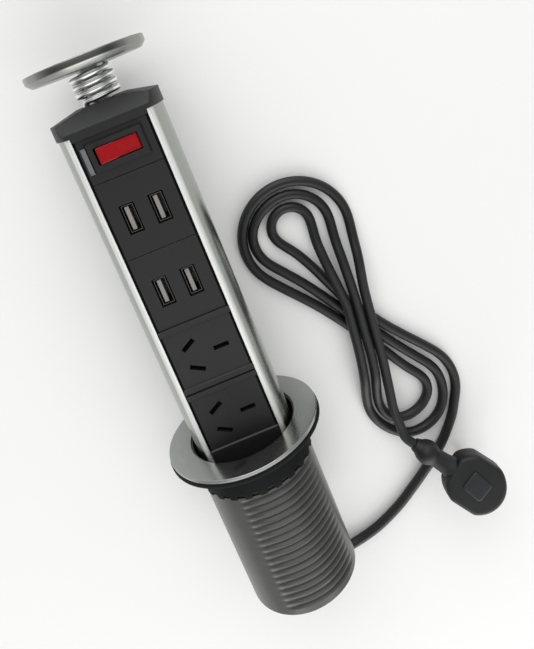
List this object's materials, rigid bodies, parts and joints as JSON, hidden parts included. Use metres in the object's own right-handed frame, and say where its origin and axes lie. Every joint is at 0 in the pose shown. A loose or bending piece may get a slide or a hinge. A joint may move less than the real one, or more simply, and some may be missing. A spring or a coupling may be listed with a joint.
{
  "type": "pop up desk socket",
  "caption": "Pull-up desk power tower in a threaded sleeve with a flange, a sprung lid, a rocker switch, charging ports, mains outlets and a coiled cord with plug",
  "frame": {"origin": "on the tower axis, in the plane of the gasket's face that sits on the desk", "axes": "+Y along the tower towards the lid, +Z out of the socket face, +X to the right of the face"},
  "size_m": [0.1636, 0.327, 0.0816],
  "materials": {
    "barrel_grey": "fine moulded matt",
    "black_plastic": "fine spark-eroded texture",
    "plate_black": "satin",
    "inner_plastic": "plain moulded",
    "flange_metal": "satin, turned",
    "lid_metal": "satin",
    "rail_aluminium": "bright anodised",
    "gasket_rubber": "matt",
    "felt": "pressed felt",
    "spring_chrome": "polished plating",
    "screw_steel": "zinc plated",
    "contact_brass": "plain",
    "pin_brass": "nickel-washed",
    "shell_steel": "nickel plated",
    "board_green": "solder mask",
    "rocker_red": "polished moulding",
    "wire_pvc": "plain",
    "cord_pvc": "satin",
    "plug_pvc": "fine texture"
  },
  "bodies": {
    "sleeve": {"barrel": "barrel_grey", "head_collar": "black_plastic", "flange_ring": "flange_metal", "gasket": "gasket_rubber", "guide_bush": "black_plastic", "guide_pads": "felt"},
    "tower": {"tower_profile": "rail_aluminium", "top_cap": "black_plastic", "cap_screws": "screw_steel", "bottom_cap": "black_plastic", "foot_screws": "screw_steel", "switch_plate": "plate_black", "switch_body": "inner_plastic", "usb_plate_1": "plate_black", "usb_plate_2": "plate_black", "usb_shells_1": "shell_steel", "usb_shells_2": "shell_steel", "usb_tongues_1": "inner_plastic", "usb_tongues_2": "inner_plastic", "usb_board_1": "board_green", "usb_board_2": "board_green", "outlet_plate_1": "plate_black", "outlet_plate_2": "plate_black", "outlet_housing_1": "inner_plastic", "outlet_housing_2": "inner_plastic", "outlet_contacts_1": "contact_brass", "outlet_contacts_2": "contact_brass", "blank_plate": "plate_black", "lid_spring": "spring_chrome", "cord_gland": "black_plastic", "wire_loom": "wire_pvc", "cord_lead": "cord_pvc", "cord_hank": "cord_pvc", "cord_tail": "cord_pvc", "plug_boot": "plug_pvc", "plug_body": "plug_pvc", "plug_pins": "pin_brass"},
    "lid": {"lid": "lid_metal", "lid_stem": "screw_steel", "stem_clip": "screw_steel"},
    "rocker": {"rocker": "rocker_red"}
  },
  "joints": [
    {"name": "tower_slide", "type": "slide", "parent": "sleeve", "child": "tower", "axis": [0, 1, 0], "range_m": [-0.1901, 0]},
    {"name": "lid_press", "type": "slide", "parent": "tower", "child": "lid", "axis": [0, 1, 0], "range_m": [-0.002, 0], "stiffness_N_per_m": 1500, "springref_m": 0.002, "deforming": ["lid_spring"]},
    {"name": "rocker_tilt", "type": "hinge", "parent": "tower", "child": "rocker", "pos_m": [0, 0.1597, 0.0152], "axis": [0, 1, 0], "range_deg": [-16, 0]}
  ]
}
